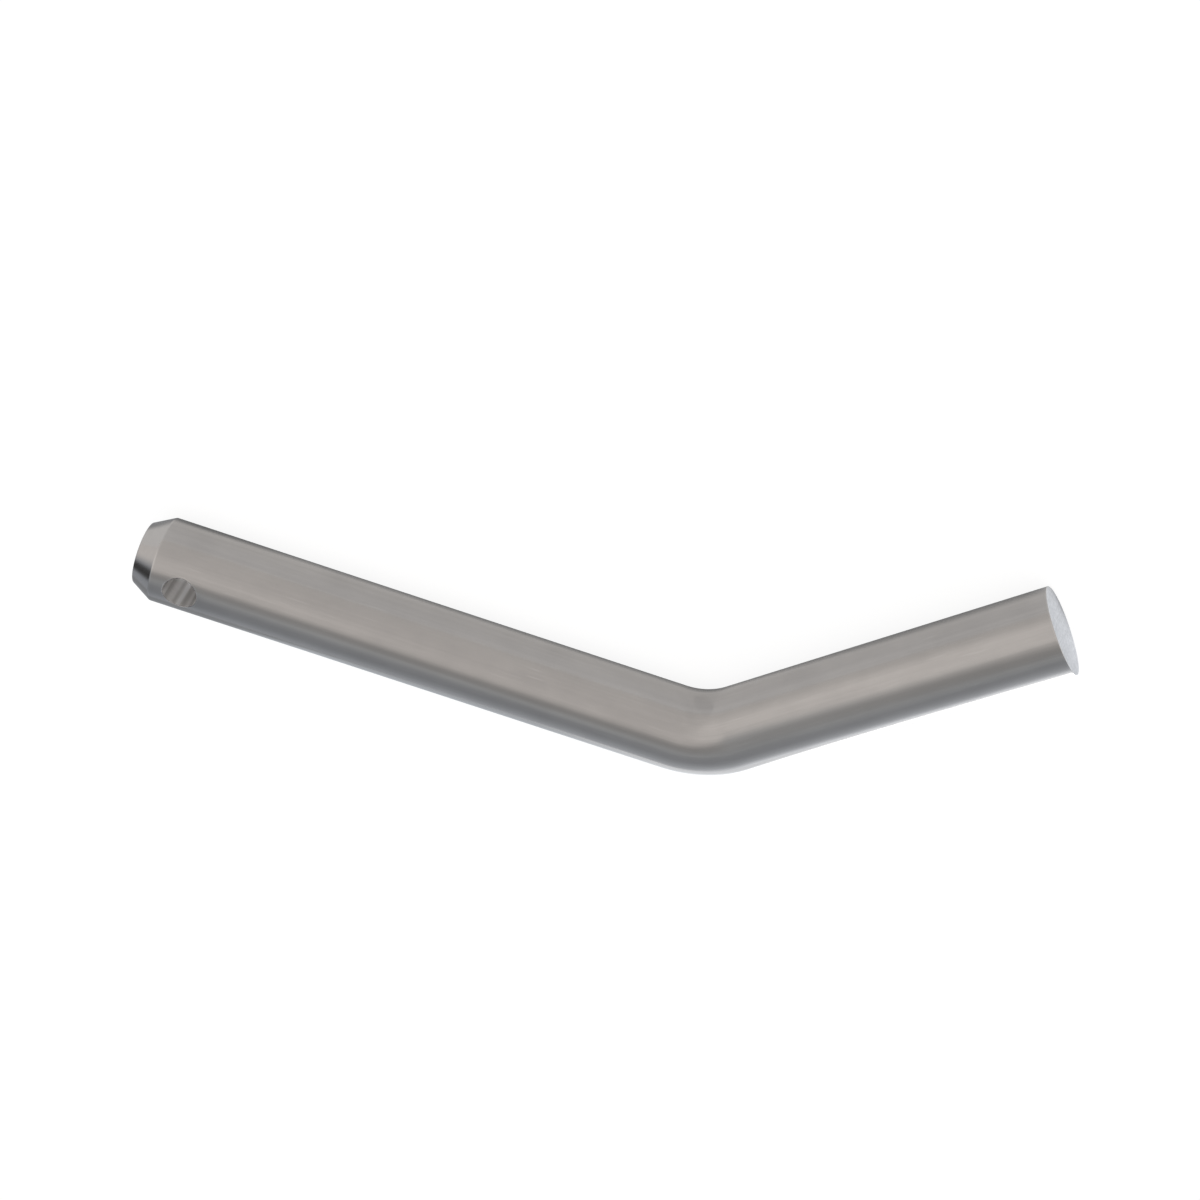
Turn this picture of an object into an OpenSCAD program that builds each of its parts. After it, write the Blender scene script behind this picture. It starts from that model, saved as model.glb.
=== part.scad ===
// Bent pin: one round steel bar with a coned nose, a cross hole and a single bend.
// The long leg slides through the parts that the pin joins. A clip in the cross hole
// holds it there, and the short leg beyond the bend is its stop and its handle.
// The origin is on the axis of the long leg, where the bend starts. The long leg runs
// along -X, the short leg swings towards +Y, and the pin lies flat on its side.

/* [Bar] */
// Diameter of the round bar (5/8 in)
bar_d = 15.875; // [12:0.125:25]

/* [Long leg] */
// Straight length from the start of the bend to the tip of the nose
shank_len = 102.2; // [60:0.1:250]
// Length of the cone that leads the pin into its hole
nose_len = 3.8; // [1:0.1:5.5]
// Angle between the side of that cone and the axis
nose_angle = 30; // [10:1:45]

/* [Cross hole] */
// Diameter of the hole that takes the clip (1/4 in)
hole_d = 6.35; // [2:0.05:9]
// Distance from the tip of the nose to the middle of the hole (3/8 in)
hole_from_tip = 9.525; // [8:0.025:40]
// Turn of the hole about the long leg: 0 is square to the plane of the bend
hole_turn = 0; // [-90:1:90]

/* [Bend] */
// Angle that the short leg is turned out of line with the long one
bend_angle = 45; // [10:1:90]
// Radius of the bend on the bar's centre line (5/8 in)
bend_r = 15.875; // [13:0.125:60]

/* [Short leg] */
// Straight length from the end of the bend to the square-cut end
handle_len = 61; // [20:0.1:150]

/* [Hidden] */

$fn = 128;
bar_r = bar_d / 2;
tip_r = bar_r - nose_len * tan(nose_angle);
// How far the drill and the trimming blocks run past the bar
clearance = 2;
steel = [0.61, 0.59, 0.57];

// Half of the long leg's section: radius across, distance from the bend along
shank_profile = [
    [0, 0],
    [bar_r, 0],
    [bar_r, shank_len - nose_len],
    [tip_r, shank_len],
    [0, shank_len],
];

// Swings its children round the centre of the bend
module swung(angle) {
    translate([0, bend_r, 0])
        rotate(angle)
            translate([0, -bend_r, 0])
                children();
}

// Long leg, straight along -X from the origin, with the nose at its end
module shank() {
    rotate([0, -90, 0])
        rotate_extrude()
            polygon(shank_profile);
}

// Short leg, straight along +X from the origin and cut off square
module handle() {
    rotate([0, 90, 0])
        cylinder(r = bar_r, h = handle_len);
}

// The bar closed into a ring round the centre of the bend
module ring() {
    translate([0, bend_r, 0])
        rotate_extrude()
            translate([bend_r, 0])
                circle(r = bar_r);
}

// Block that takes in the ring on one side of the origin: 1 for +X, -1 for -X
module trim(side) {
    outer_r = bend_r + bar_r + clearance;
    translate([min(side, 0) * outer_r, bend_r - outer_r, -bar_r - clearance])
        cube([outer_r, 2 * outer_r, bar_d + 2 * clearance]);
}

// The bend: what the ring has between the long leg's end and the short leg's
module elbow() {
    intersection() {
        swung(bend_angle / 2)
            ring();
        swung(-bend_angle / 2)
            trim(1);
        swung(bend_angle / 2)
            trim(-1);
    }
}

// The whole bar: its legs stand half the bend either side of the elbow's middle, and
// all of it is swung by the same half, which lays the long leg along the X axis
module bent_bar() {
    swung(bend_angle / 2) {
        swung(-bend_angle / 2)
            shank();
        elbow();
        swung(bend_angle / 2)
            handle();
    }
}

// Drill for the clip's hole, across the axis of the long leg
module cross_drill() {
    translate([hole_from_tip - shank_len, 0, 0])
        rotate([hole_turn, 0, 0])
            cylinder(d = hole_d, h = bar_d + 2 * clearance, center = true);
}

module pin() {
    color(steel)
        difference() {
            bent_bar();
            cross_drill();
        }
}

pin();
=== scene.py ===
import math

import bpy
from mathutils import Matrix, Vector


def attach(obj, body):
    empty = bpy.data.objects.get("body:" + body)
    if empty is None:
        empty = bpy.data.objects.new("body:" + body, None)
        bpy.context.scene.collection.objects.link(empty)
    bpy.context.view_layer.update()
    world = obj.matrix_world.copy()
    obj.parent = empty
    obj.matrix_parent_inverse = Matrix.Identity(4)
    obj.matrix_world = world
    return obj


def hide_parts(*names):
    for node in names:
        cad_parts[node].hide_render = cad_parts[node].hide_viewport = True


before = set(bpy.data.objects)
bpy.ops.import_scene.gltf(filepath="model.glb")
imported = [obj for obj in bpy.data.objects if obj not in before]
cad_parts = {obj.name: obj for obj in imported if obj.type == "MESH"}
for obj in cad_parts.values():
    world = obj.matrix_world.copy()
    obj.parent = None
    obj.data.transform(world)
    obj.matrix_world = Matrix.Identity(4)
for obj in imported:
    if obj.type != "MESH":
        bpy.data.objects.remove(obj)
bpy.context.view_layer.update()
print("frame loaded")


# one socket of a shader tree, with the arithmetic that the materials use
class Signal:
    def __init__(self, tree, socket=None):
        self.tree = tree
        self.socket = socket

    def node(self, kind, settings=None, sockets=None, output=0):
        made = self.tree.nodes.new(kind)
        for name, value in (settings or {}).items():
            setattr(made, name, value)
        for name, value in (sockets or {}).items():
            if isinstance(value, Signal):
                self.tree.links.new(value.socket, made.inputs[name])
            else:
                made.inputs[name].default_value = value
        return Signal(self.tree, made.outputs[output] if made.outputs else None)

    def math(self, operation, first, second=0.0):
        return self.node("ShaderNodeMath", {"operation": operation}, {0: first, 1: second})

    def __add__(self, other):
        return self.math("ADD", self, other)

    def __sub__(self, other):
        return self.math("SUBTRACT", self, other)

    def __mul__(self, other):
        return self.math("MULTIPLY", self, other)

    def __pow__(self, other):
        return self.math("POWER", self, other)

    def __rsub__(self, other):
        return self.math("SUBTRACT", other, self)

    __radd__ = __add__
    __rmul__ = __mul__

    # 0 below low, 1 above high and smooth between them
    def rise(self, low, high):
        ends = {"Value": self, "From Min": low, "From Max": high}
        return self.node("ShaderNodeMapRange", {"interpolation_type": "SMOOTHSTEP"}, ends)

    def vectorMath(self, operation, other, output="Vector"):
        return self.node("ShaderNodeVectorMath", {"operation": operation}, {0: self, 1: other}, output)

    # noise from -1 to 1, with so many cells to a unit of length along each axis
    def noise(self, cells, detail=2.0, shift=0.0):
        vector = self.node("ShaderNodeMapping", None,
                           {"Vector": self, "Location": (shift, shift, shift), "Scale": cells})
        sockets = {"Vector": vector, "Scale": 1.0, "Detail": detail, "Roughness": 0.55}
        return self.node("ShaderNodeTexNoise", None, sockets) * 2 - 1

    # colour by stops of (place, colour)
    def ramp(self, stops):
        made = self.node("ShaderNodeValToRGB", None, {0: self})
        band = made.socket.node.color_ramp
        for spot, colour in stops[2:]:
            band.elements.new(spot)
        for element, (spot, colour) in zip(band.elements, stops):
            element.position = spot
            element.color = colour
        return made

    # colour between low, where this is 0, and high, where it is 1
    def blend(self, low, high):
        colours = {0: self, 6: low, 7: high}
        return self.node("ShaderNodeMix", {"data_type": "RGBA"}, colours, output=2)


def deselectAll():
    bpy.ops.object.select_all(action="DESELECT")


# sizes of the bar, in metres and degrees
bar = {
    "radius": 0.0079375,
    "longLeg": 0.1022,         # from the start of the bend to the tip of the nose
    "shortLeg": 0.061,
    "bendRadius": 0.015875,    # on the centre line
    "bendAngle": 45,
    "noseLength": 0.0038,
    "noseAngle": 30,
    "holeRadius": 0.003175,
    "holeFromTip": 0.009525,   # to the hole's axis
    "sides": 144,
    "longLegRings": 25,
    "bendRings": 30,
    "shortLegRings": 17,
    "plainPastHole": 0.002,    # no ring stands this near the hole, so that none crosses it
    "weldDistance": 1e-6,
    "holeSides": 96,
    "drillLength": 2.4,        # in radii of the bar
    "holeWeldDistance": 6e-5,  # closes tiny edges at the hole's rim
    "edgeRound": 0.00012,      # broken edges at the nose, the hole and the cut end
    "edgeAngle": 24,           # edges sharper than this are broken
    "edgeSegments": 3,
    "smoothAngle": 35,         # and blunter ones than this are shaded smooth
    "flatFaceWeight": 80,
}

bendTurn = math.radians(bar["bendAngle"])
bendCentre = Vector((0, bar["bendRadius"], 0))
bendLength = bar["bendRadius"] * bendTurn
shortAim = Vector((math.cos(bendTurn), math.sin(bendTurn), 0))
shortStart = Vector((bar["bendRadius"] * math.sin(bendTurn),
                     bar["bendRadius"] * (1 - math.cos(bendTurn)), 0))
holeX = bar["holeFromTip"] - bar["longLeg"]
noseX = bar["noseLength"] - bar["longLeg"]
tipRadius = bar["radius"] - bar["noseLength"] * math.tan(math.radians(bar["noseAngle"]))
cutEnd = bendLength + bar["shortLeg"]


# draws the selected ring out along a straight leg
def drawOut(travel, rings):
    for _ in range(rings):
        bpy.ops.mesh.extrude_region_move(TRANSFORM_OT_translate={"value": travel / rings})


def makeBar():
    deselectAll()
    bpy.ops.mesh.primitive_circle_add(vertices=bar["sides"], radius=tipRadius, fill_type="NGON",
                                      location=(-bar["longLeg"], 0, 0),
                                      rotation=(0, math.pi / 2, 0))
    piece = bpy.context.object
    piece.name = "bentBar"
    bpy.ops.object.transform_apply(location=True, rotation=True, scale=True)
    bpy.ops.object.mode_set(mode="EDIT")
    bpy.ops.mesh.select_mode(type="VERT")
    bpy.ops.mesh.select_all(action="SELECT")
    drawOut(Vector((bar["noseLength"], 0, 0)), 1)
    growth = bar["radius"] / tipRadius
    bpy.ops.transform.resize(value=(1, growth, growth), center_override=(noseX, 0, 0))
    pastHole = holeX + bar["holeRadius"] + bar["plainPastHole"]
    drawOut(Vector((pastHole - noseX, 0, 0)), 1)
    drawOut(Vector((-pastHole, 0, 0)), bar["longLegRings"])
    bpy.ops.mesh.spin(steps=bar["bendRings"], angle=-bendTurn, center=bendCentre, axis=(0, 0, 1))
    drawOut(shortAim * bar["shortLeg"], bar["shortLegRings"])
    bpy.ops.mesh.select_all(action="SELECT")
    bpy.ops.mesh.remove_doubles(threshold=bar["weldDistance"])
    bpy.ops.mesh.normals_make_consistent(inside=False)
    bpy.ops.object.mode_set(mode="OBJECT")
    return piece


# the clip's hole, drilled as the real one is
def drillHole(piece):
    deselectAll()
    bpy.ops.mesh.primitive_cylinder_add(vertices=bar["holeSides"], radius=bar["holeRadius"],
                                        depth=bar["radius"] * bar["drillLength"],
                                        location=(holeX, 0, 0))
    drill = bpy.context.object
    drill.name = "drill"
    deselectAll()
    piece.select_set(True)
    bpy.context.view_layer.objects.active = piece
    cut = piece.modifiers.new("hole", "BOOLEAN")
    cut.operation = "DIFFERENCE"
    cut.solver = "EXACT"
    cut.object = drill
    bpy.ops.object.modifier_apply(modifier=cut.name)
    bpy.data.objects.remove(drill, do_unlink=True)
    for vertex in piece.data.vertices:
        fromAxis = math.hypot(vertex.co.x - holeX, vertex.co.y)
        vertex.select = abs(fromAxis - bar["holeRadius"]) < 1e-5    # points on the hole's wall
    bpy.ops.object.mode_set(mode="EDIT")
    bpy.ops.mesh.remove_doubles(threshold=bar["holeWeldDistance"])
    bpy.ops.object.mode_set(mode="OBJECT")


def breakEdges(piece):
    edge = piece.modifiers.new("edges", "BEVEL")
    edge.limit_method = "ANGLE"
    edge.angle_limit = math.radians(bar["edgeAngle"])
    edge.width = bar["edgeRound"]
    edge.segments = bar["edgeSegments"]
    edge.use_clamp_overlap = False
    bpy.ops.object.modifier_apply(modifier=edge.name)
    bpy.ops.object.shade_smooth_by_angle(angle=math.radians(bar["smoothAngle"]))
    weight = piece.modifiers.new("weight", "WEIGHTED_NORMAL")
    weight.keep_sharp = True
    weight.weight = bar["flatFaceWeight"]
    bpy.ops.object.modifier_apply(modifier=weight.name)


# where a point of the bent bar was when the bar was still straight
def straightPlace(point):
    if point.x <= 0:
        return point.copy()
    fromStart = point - shortStart
    beyond = fromStart.dot(shortAim)
    if beyond >= 0:
        across = fromStart.dot(Vector((-shortAim.y, shortAim.x, 0)))
        return Vector((bendLength + beyond, across, point.z))
    arm = point - bendCentre
    turn = math.atan2(arm.x, -arm.y)
    return Vector((turn * bar["bendRadius"], bar["bendRadius"] - arm.xy.length, point.z))


# kept on the mesh, so that the steel's pattern follows the bar round the bend
def storeStraightPlace(piece):
    place = piece.data.attributes.new("straightPlace", "FLOAT_VECTOR", "POINT")
    for vertex in piece.data.vertices:
        place.data[vertex.index].vector = straightPlace(vertex.co)


bentBar = makeBar()
drillHole(bentBar)
breakEdges(bentBar)
storeStraightPlace(bentBar)
print("bar modelled:", len(bentBar.data.polygons), "faces")


# finishes of the one bar: places and depths are in millimetres, measured in the bar when it
# was straight, and cells are a noise's cells to a millimetre there, along X, Y and Z
steel = {
    "drawn": (0.365, 0.350, 0.338, 1),       # the bar's own skin
    "drawnDull": (0.290, 0.279, 0.271, 1),
    "worn": (0.440, 0.428, 0.416, 1),        # rubbed edges and scratches
    "roughness": 0.20,
    "fineLineCells": (0.03, 5.2, 5.2),
    "broadLineCells": (0.009, 0.9, 0.9),
    "cloudCells": (0.11, 0.16, 0.16),
    "scratchCells": (0.16, 7, 7),
    "scratchFrom": (0.52, 0.66),             # noise that is strong enough for a scratch
    "lineDepth": 0.0009,
    "wearFrom": (0.34, 0.04),                # distance from an edge
    "wearCells": (1.5, 2.5, 2.5),
    "patchStart": (3.2, 7.9, 0.3),           # ends of the darker streak inside the bend
    "patchEnd": (9.6, 7.6, 2.3),
    "patchFrom": (8.9, 5.8),                 # sum of the distances from its ends
    "turned": (0.425, 0.408, 0.396, 1),      # nose
    "turnedDull": (0.365, 0.351, 0.340, 1),
    "ringCells": (4.5, 1, 1),
    "ringDepth": 0.0009,
    "turnedCloudCells": (1.2, 0.8, 0.8),
    "drilled": (0.840, 0.825, 0.815, 1),     # wall of the hole, painted light: lighter than steel so that the shaded bore looks lit
    "drilledDull": (0.560, 0.545, 0.535, 1),
    "drilledRoughness": 0.42,
    "drilledMetal": 0.7,
    "streakCells": (0.9, 0.9, 0.02),
    "feedMarkCells": (0.3, 0.3, 5),
    "streakDepth": 0.001,
    # stripes round the wall: partly chatter marks, partly painted reflection
    "chatterAndReflectionStripes": 11,
    "paintedGlint": (0.900, 0.900, 0.900, 1),   # painted reflection: a bright streak on one of those stripes
    "paintedGlintTurn": -93.5,                    # degrees round the hole
    "paintedGlintFrom": (0.94, 0.98),             # cosine of the turn away from it
    "sawn": (0.522, 0.518, 0.524, 1),        # cut end
    "sawnDull": (0.289, 0.287, 0.292, 1),
    "sawnRoughness": 0.36,
    "sawTilt": 0.45,                         # radians
    "sawLineCells": (0, 6, 0.12),
    "grainCells": (2.2, 2.2, 2.2),
    "sawDepth": 0.0015,
}


def newMaterial(name):
    material = bpy.data.materials.new(name)
    material.use_nodes = True
    material.node_tree.nodes.clear()
    return material, Signal(material.node_tree)


mmPerMetre = 1000


# a point's place in the bar when it was straight, in millimetres
def placeInBar(start):
    place = start.node("ShaderNodeAttribute", {"attribute_name": "straightPlace"}, output="Vector")
    return place.vectorMath("MULTIPLY", (mmPerMetre, mmPerMetre, mmPerMetre))


# metal with a colour, a roughness and a height in millimetres that change over the surface
def finishMaterial(start, colour, roughness, height, metallic=1.0):
    bump = start.node("ShaderNodeBump", None,
                      {"Strength": 1.0, "Distance": 1 / mmPerMetre, "Height": height})
    metal = start.node("ShaderNodeBsdfPrincipled", None, {
        "Base Color": colour, "Metallic": metallic, "Roughness": roughness, "Normal": bump})
    start.node("ShaderNodeOutputMaterial", None, {"Surface": metal})


# 1 on the edges of the bar's skin and 0 a little way in from them
def rubbedEdges(place):
    along = place.node("ShaderNodeSeparateXYZ", None, {0: place}, "X")
    fromNose = along.math("ABSOLUTE", along - noseX * mmPerMetre)
    fromCut = cutEnd * mmPerMetre - along
    flat = place.vectorMath("MULTIPLY", (1, 1, 0))
    fromHole = flat.vectorMath("DISTANCE", (holeX * mmPerMetre, 0, 0), "Value")
    fromHole = fromHole - bar["holeRadius"] * mmPerMetre
    nearest = fromNose.math("MINIMUM", fromNose, fromCut)
    nearest = nearest.math("MINIMUM", nearest, fromHole)
    ragged = place.noise(steel["wearCells"], detail=3.0, shift=5.0)
    return (nearest + ragged * 0.12).rise(*steel["wearFrom"])


# cold-drawn skin: die lines along the bar, faint clouds, a few scratches, and a darker
# streak inside the bend
def drawnSteel():
    material, start = newMaterial("drawnSteel")
    place = placeInBar(start)
    fineLines = place.noise(steel["fineLineCells"], detail=3.0)
    broadLines = place.noise(steel["broadLineCells"], detail=2.0, shift=3.0)
    clouds = place.noise(steel["cloudCells"], detail=4.0, shift=7.0)
    scratches = place.noise(steel["scratchCells"], detail=0.0, shift=11.0)
    scratches = scratches.rise(*steel["scratchFrom"])
    rubbed = rubbedEdges(place)
    fromPatch = place.vectorMath("DISTANCE", steel["patchStart"], "Value")
    fromPatch = fromPatch + place.vectorMath("DISTANCE", steel["patchEnd"], "Value")
    patch = (fromPatch + clouds * 0.6).rise(*steel["patchFrom"])
    shade = clouds * 0.5 + broadLines * 0.3 + fineLines * 0.2 + patch * 0.6 + 0.3
    shade = shade.rise(-0.3, 1.1)
    colour = shade.blend(steel["drawn"], steel["drawnDull"])
    colour = (scratches * 0.3 + rubbed * 0.45).blend(colour, steel["worn"])
    roughness = clouds * 0.03 + broadLines * 0.03 + fineLines * 0.03 + steel["roughness"]
    height = (fineLines + broadLines * 1.5 - scratches * 0.8) * steel["lineDepth"]
    finishMaterial(start, colour, roughness - rubbed * 0.06, height)
    return material


# nose: fine rings from the lathe, on the cone and on the face at the tip
def turnedSteel():
    material, start = newMaterial("turnedSteel")
    place = placeInBar(start)
    along = place.node("ShaderNodeSeparateXYZ", None, {0: place}, "X")
    radius = place.vectorMath("MULTIPLY", (0, 1, 1)).vectorMath("LENGTH", (0, 0, 0), "Value")
    ringPlace = start.node("ShaderNodeCombineXYZ", None, {0: along + radius})
    rings = ringPlace.noise(steel["ringCells"], detail=2.0)
    clouds = place.noise(steel["turnedCloudCells"], detail=3.0, shift=4.0)
    shade = (rings * 0.5 + clouds * 0.3 + 0.3).rise(-0.3, 1.1)
    colour = shade.blend(steel["turned"], steel["turnedDull"])
    roughness = rings * 0.03 + clouds * 0.02 + steel["roughness"] - 0.02
    finishMaterial(start, colour, roughness, rings * steel["ringDepth"])
    return material


# wall of the hole, painted light and reflection: lighter than steel, with stripes all round that are
# partly chatter marks and partly painted reflection, and a painted bright reflection down one of them
def drilledSteel():
    material, start = newMaterial("drilledSteel")
    place = placeInBar(start)
    streaks = place.noise(steel["streakCells"], detail=2.0, shift=2.0)
    feedMarks = place.noise(steel["feedMarkCells"], detail=1.0)
    fromAxis = place.vectorMath("SUBTRACT", (holeX * mmPerMetre, 0, 0))
    across = fromAxis.node("ShaderNodeSeparateXYZ", None, {0: fromAxis}, "X")
    sideways = fromAxis.node("ShaderNodeSeparateXYZ", None, {0: fromAxis}, "Y")
    turn = across.math("ARCTAN2", sideways, across) - math.radians(steel["paintedGlintTurn"])
    chatterAndPaintedReflection = turn.math("COSINE", turn * steel["chatterAndReflectionStripes"] + streaks * 0.9)
    # painted reflection: a bright streak at one turn round the wall
    paintedGlint = turn.math("COSINE", turn).rise(*steel["paintedGlintFrom"]) * chatterAndPaintedReflection.rise(0.0, 0.9)
    shade = (streaks * 0.8 - chatterAndPaintedReflection * 0.34 + feedMarks * 0.15 + 0.45).rise(0.0, 1.0)
    # painted light: both wall colours are lighter than steel, standing in for light the hole lacks
    colour = shade.blend(steel["drilled"], steel["drilledDull"])
    colour = paintedGlint.blend(colour, steel["paintedGlint"])
    roughness = streaks * 0.05 + feedMarks * 0.03 + steel["drilledRoughness"]
    height = (streaks * 2 + feedMarks) * steel["streakDepth"]
    finishMaterial(start, colour, roughness, height, steel["drilledMetal"])
    return material


# cut end: saw lines and a fine torn grain, with painted light and shade: lighter near the floor and
# duller towards the top
def sawnSteel():
    material, start = newMaterial("sawnSteel")
    place = placeInBar(start)
    tilted = place.node("ShaderNodeMapping", None,
                        {"Vector": place, "Rotation": (steel["sawTilt"], 0, 0)})
    lines = tilted.noise(steel["sawLineCells"], detail=2.0)
    grain = place.noise(steel["grainCells"], detail=4.0, shift=9.0)
    upwards = place.node("ShaderNodeSeparateXYZ", None, {0: place}, "Z")
    # painted light and shade: the height term makes the end lighter low down and duller high up
    shade = (lines * 0.35 + grain * 0.7 + upwards * 0.03 + 0.4).rise(-0.2, 1.0)
    colour = shade.blend(steel["sawn"], steel["sawnDull"])
    roughness = grain * 0.05 + lines * 0.03 + steel["sawnRoughness"]
    finishMaterial(start, colour, roughness, (lines + grain * 2) * steel["sawDepth"])
    return material


# gives each face the finish of its surface, in which the broken edges count as skin
def finishFaces(piece):
    for make in (drawnSteel, turnedSteel, drilledSteel, sawnSteel):
        piece.data.materials.append(make())
    nearly = bar["edgeRound"] * 0.02    # room for rounding
    for face in piece.data.polygons:
        place = straightPlace(face.center)
        fromHole = math.hypot(place.x - holeX, place.y)
        if fromHole < bar["holeRadius"] + nearly:
            face.material_index = 2
        elif place.x < noseX:
            face.material_index = 1
        elif place.x > cutEnd - nearly:
            face.material_index = 3


finishFaces(bentBar)
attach(bentBar, "root")
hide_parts("pin")
print("steel done")


# light, floor and what the metal mirrors of them: an aim is a direction seen from the pin,
# and a pair of numbers is where a change starts and ends, in metres on the floor
studio = {
    "warmLow": (1.010, 0.985, 0.965, 1),    # the warm side's light, at the horizon
    "warmHigh": (1.090, 1.055, 1.035, 1),   # and overhead
    "warmFrom": (-0.20, 0.17),              # by the sideways part of a direction
    "bright": (1.310, 1.270, 1.240, 1),     # a brighter patch in it
    "brightAim": (-0.620, 0.280, 0.733),
    "brightSpread": (0.80, 0.99),
    "coolFromHorizonUp": [                  # height of a direction, light from the cool side
        (0.00, (0.540, 0.575, 0.620, 1)),
        (0.25, (0.490, 0.525, 0.578, 1)),
        (0.50, (0.426, 0.455, 0.496, 1)),
        (0.70, (0.461, 0.485, 0.523, 1)),
        (0.82, (0.566, 0.596, 0.630, 1)),
        (0.90, (0.708, 0.735, 0.757, 1)),
        (0.97, (0.550, 0.550, 0.550, 1)),
    ],
    "glow": (1.95, 2.05, 2.18, 1),          # a low window beyond the short leg
    "glowAim": (0.500, -0.866, 0.000),
    "glowSharpness": 60,
    "glowShare": 0.65,
    "hazeSharpness": 6,                     # and the haze round it
    "hazeShare": 0.35,
    "dark": (0.06, 0.06, 0.06, 1),          # a black screen that the nose mirrors
    "darkAim": (-0.862, -0.368, 0.350),
    "darkSpread": (0.962, 0.998),
    "white": (1, 1, 1, 1),
    "noGlow": (0, 0, 0, 1),
    "floorSize": 8,
    "floorColour": (0.84, 0.84, 0.84, 1),
    "floorSeen": (0.20, 0.20, 0.20, 1),     # for the camera: its share of the light
    "floorGlow": (0.87, 0.87, 0.87, 1),     # and its own glow
    "floorMirrored": (0.43, 0.45, 0.47, 1),    # in the metal: its share of the light, and a
    "noseGlow": (0.060, 0.070, 0.080, 1),      # glow that is faint ahead of the nose,
    "shankFrom": (-0.115, -0.090),
    "shankSlant": 0.15,
    "shankGlow": (0.400, 0.430, 0.470, 1),     # stronger beside the long leg,
    "shankFarGlow": (0.530, 0.570, 0.620, 1),
    "beyondFrom": (-0.030, 0.020),
    "beyondGlow": (0.930, 0.960, 1.000, 1),    # more so beyond the bend,
    "beyondFarGlow": (1.150, 1.185, 1.240, 1),
    "farFrom": (-0.055, -0.090),
    "stripStart": (-0.017, 0.006),
    "stripEnd": (0.062, 0.057),
    "stripSide": (0.005, 0.010),
    "stripNearFrom": (0.220, 0.090),
    "stripGlow": (1.700, 1.730, 1.760, 1),     # strongest in a strip beside the short leg
    "stripNearGlow": (4.100, 4.150, 4.200, 1),
    "crookSide": (-0.005, 0.010),
    "crookEnd": (0.056, 0.046),
    "crookGlow": (0.660, 0.645, 0.628, 1),     # and warm between the legs,
    "contactShade": 0.0038,                    # how near the long leg that glow is dimmed
    "contactShadeMore": 0.0018,                # how much further out at the short leg
    "contactShadeFrom": (0.004, 0.030),
    "contactSamples": 4,
    "pastCutEnd": (0.0605, 0.0625),            # no dimming beyond the cut end
    "noseShade": 0.8,                          # and more of it beside the nose
    "noseShadeStart": (-0.070, -0.095),
    "noseShadeSide": (0.010, 0.006),
    "holeGlow": (0.800, 0.800, 0.800, 1),      # right under the hole
    "holeGlowRim": (0.0034, 0.0028),
}


# soft light from all round: warm from one side, cooler from the other
def lightWorld():
    world = bpy.data.worlds.new("studio")
    world.use_nodes = True
    world.node_tree.nodes.clear()
    start = Signal(world.node_tree)
    aim = start.node("ShaderNodeTexCoord", output="Generated")
    sideways = aim.node("ShaderNodeSeparateXYZ", None, {0: aim}, "Y")
    upwards = aim.node("ShaderNodeSeparateXYZ", None, {0: aim}, "Z")
    warm = upwards.blend(studio["warmLow"], studio["warmHigh"])
    toPatch = aim.vectorMath("DOT_PRODUCT", studio["brightAim"], "Value")
    warm = toPatch.rise(*studio["brightSpread"]).blend(warm, studio["bright"])
    cool = upwards.ramp(studio["coolFromHorizonUp"])
    light = sideways.rise(*studio["warmFrom"]).blend(cool, warm)
    toWindow = aim.vectorMath("DOT_PRODUCT", studio["glowAim"], "Value")
    toWindow = toWindow.math("MAXIMUM", toWindow)
    haze = toWindow ** studio["hazeSharpness"] * studio["hazeShare"]
    window = toWindow ** studio["glowSharpness"] * studio["glowShare"]
    light = (haze + window).blend(light, studio["glow"])
    toScreen = aim.vectorMath("DOT_PRODUCT", studio["darkAim"], "Value")
    light = toScreen.rise(*studio["darkSpread"]).blend(light, studio["dark"])
    camera = start.node("ShaderNodeLightPath", output="Is Camera Ray")
    shine = start.node("ShaderNodeBackground", None,
                       {"Color": camera.blend(light, studio["white"]), "Strength": 1.0})
    start.node("ShaderNodeOutputWorld", None, {"Surface": shine})
    bpy.context.scene.world = world


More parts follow.
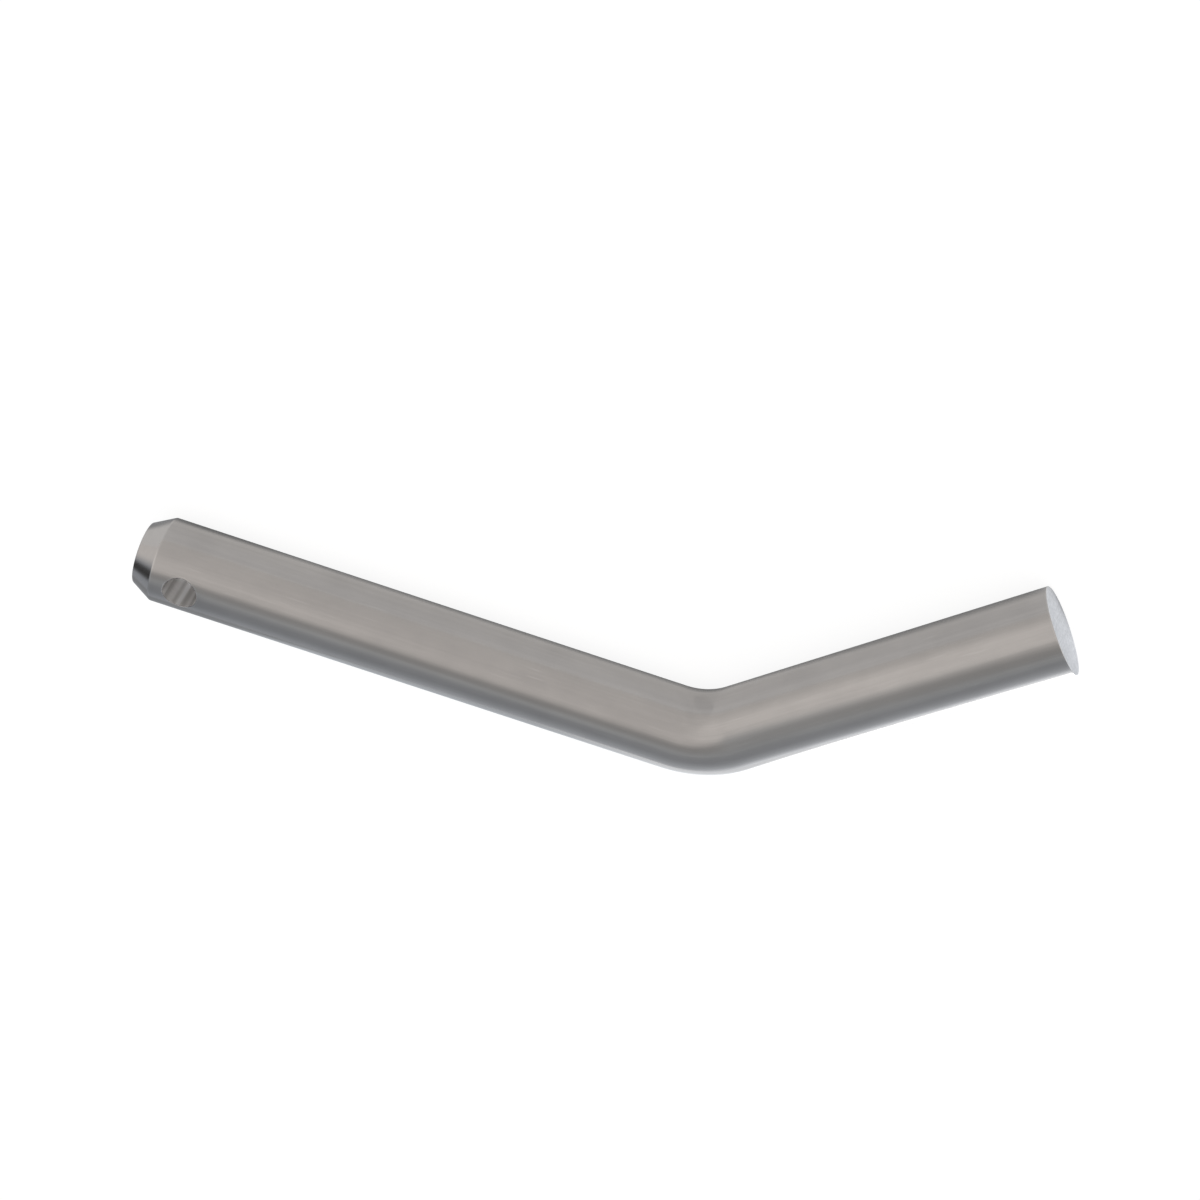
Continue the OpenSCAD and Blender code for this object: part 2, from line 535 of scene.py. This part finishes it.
# the floor's glow as the metal mirrors it, by places on the floor
def mirroredGlow(start):
    place = start.node("ShaderNodeTexCoord", output="Object")
    along = place.node("ShaderNodeSeparateXYZ", None, {0: place}, "X")
    sideways = place.node("ShaderNodeSeparateXYZ", None, {0: place}, "Y")
    fromShort = place.vectorMath("SUBTRACT", shortStart)
    alongShort = fromShort.vectorMath("DOT_PRODUCT", shortAim, "Value")
    besideShort = fromShort.vectorMath("DOT_PRODUCT", (shortAim.y, -shortAim.x, 0), "Value")
    far = sideways.rise(*studio["farFrom"])
    shank = far.blend(studio["shankGlow"], studio["shankFarGlow"])
    beyond = far.blend(studio["beyondGlow"], studio["beyondFarGlow"])
    slanted = along - sideways * studio["shankSlant"]
    glow = slanted.rise(*studio["shankFrom"]).blend(studio["noseGlow"], shank)
    glow = along.rise(*studio["beyondFrom"]).blend(glow, beyond)
    strip = besideShort.rise(*studio["stripNearFrom"])
    strip = strip.blend(studio["stripGlow"], studio["stripNearGlow"])
    inStrip = alongShort.rise(*studio["stripStart"]) * alongShort.rise(*studio["stripEnd"])
    glow = (inStrip * besideShort.rise(*studio["stripSide"])).blend(glow, strip)
    inCrook = sideways.rise(*studio["crookSide"]) * along.rise(*studio["crookEnd"])
    glow = inCrook.blend(glow, studio["crookGlow"])
    reach = along.rise(*studio["contactShadeFrom"]) * studio["contactShadeMore"]
    openness = start.node("ShaderNodeAmbientOcclusion", {"samples": studio["contactSamples"]},
                          {"Distance": reach + studio["contactShade"]}, "AO")
    byNose = along.rise(*studio["noseShadeStart"]) * sideways.rise(*studio["noseShadeSide"])
    openness = openness ** 2 * (1 - byNose * studio["noseShade"])
    openness = openness.math("MAXIMUM", openness, alongShort.rise(*studio["pastCutEnd"]))
    glow = openness.blend(studio["noGlow"], glow)
    fromHole = place.vectorMath("DISTANCE", (holeX, 0, 0), "Value")
    return fromHole.rise(*studio["holeGlowRim"]).blend(glow, studio["holeGlow"])


# white to the camera, with the pin's soft shadow on it
def layFloor():
    deselectAll()
    bpy.ops.mesh.primitive_plane_add(size=studio["floorSize"], location=(0, 0, -bar["radius"]))
    floor = bpy.context.object
    floor.name = "floor"
    material, start = newMaterial("paleFloor")
    camera = start.node("ShaderNodeLightPath", output="Is Camera Ray")
    glossy = start.node("ShaderNodeLightPath", output="Is Glossy Ray")
    glow = glossy.blend(studio["noGlow"], mirroredGlow(start))
    glow = camera.blend(glow, studio["floorGlow"])
    colour = glossy.blend(studio["floorColour"], studio["floorMirrored"])
    colour = camera.blend(colour, studio["floorSeen"])
    matt = start.node("ShaderNodeBsdfPrincipled", None, {
        "Base Color": colour, "Roughness": 1.0, "Specular IOR Level": 0.0,
        "Emission Color": glow, "Emission Strength": 1.0})
    start.node("ShaderNodeOutputMaterial", None, {"Surface": matt})
    floor.data.materials.append(material)


# the photo's camera, which looks down from the open side of the crook
view = {
    "place": (-0.03529, 0.20335, 0.23180),
    "turn": (-37.0775, 9.0438, 16.2517),   # degrees about X, Y and Z
    "lens": 50,
}


def placeCamera():
    lens = bpy.data.cameras.new("camera")
    lens.lens = view["lens"]
    camera = bpy.data.objects.new("camera", lens)
    camera.location = view["place"]
    camera.rotation_euler = [math.radians(angle) for angle in view["turn"]]
    bpy.context.collection.objects.link(camera)
    bpy.context.scene.camera = camera


lightWorld()
layFloor()
placeCamera()
bpy.context.scene.view_settings.view_transform = "Standard"
print("studio set")
